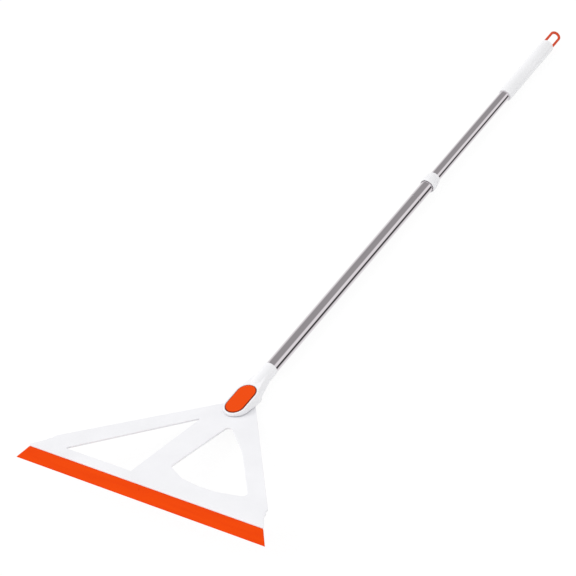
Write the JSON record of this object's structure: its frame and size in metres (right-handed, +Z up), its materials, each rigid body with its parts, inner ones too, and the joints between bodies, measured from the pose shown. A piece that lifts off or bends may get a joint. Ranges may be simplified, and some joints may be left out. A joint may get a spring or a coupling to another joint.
{
  "type": "telescopic floor scraper",
  "caption": "Floor scraper with a triangular windowed head, a flexible blade, a turning joint with a release button and a telescopic pole with a twist lock and hanging loop.",
  "frame": {"origin": "on the floor, under the middle of the part's box as it lies on its back with the button up", "axes": "+Y along the pole towards the hanging loop, +Z up, +X to the right of someone looking along +Y"},
  "size_m": [0.468, 1.2886, 0.0696],
  "materials": {
    "white_plastic": "satin",
    "inner_plastic": "matt",
    "orange_rubber": "matt",
    "orange_plastic": "satin",
    "loop_plastic": "matt",
    "polished_steel": "polished",
    "zinc_steel": "bright"
  },
  "bodies": {
    "pole_base": {"joint_housing": "white_plastic", "joint_cover": "white_plastic", "cover_screws": "zinc_steel", "pivot_washer_upper": "inner_plastic", "button_spring": "zinc_steel", "lower_tube": "polished_steel", "collet_bushing": "inner_plastic"},
    "head": {"head_plate": "white_plastic", "blade": "orange_rubber", "blade_clamp": "white_plastic", "clamp_screws": "zinc_steel", "pivot_washer_lower": "zinc_steel"},
    "button": {"release_button": "orange_plastic", "button_stem": "inner_plastic"},
    "collar": {"lock_collar": "white_plastic"},
    "upper_pole": {"upper_tube": "polished_steel", "guide_plug": "inner_plastic", "grip": "white_plastic", "end_plug": "white_plastic", "hanging_loop": "loop_plastic"}
  },
  "joints": [
    {"name": "head_pivot", "type": "hinge", "parent": "pole_base", "child": "head", "pos_m": [0, -0.38832, 0.0092], "axis": [0, 0.2487, 0.9686], "range_deg": [-90, 90]},
    {"name": "button_press", "type": "slide", "parent": "pole_base", "child": "button", "axis": [0, 0, -1], "range_m": [0, 0.002], "stiffness_N_per_m": 400, "springref_m": -0.003, "deforming": ["button_spring"]},
    {"name": "collar_twist", "type": "hinge", "parent": "pole_base", "child": "collar", "pos_m": [0, 0.1838, 0.0155], "axis": [0, 1, 0], "range_deg": [0, 120]},
    {"name": "pole_extend", "type": "slide", "parent": "pole_base", "child": "upper_pole", "axis": [0, 1, 0], "range_m": [-0.225, 0.135]}
  ]
}
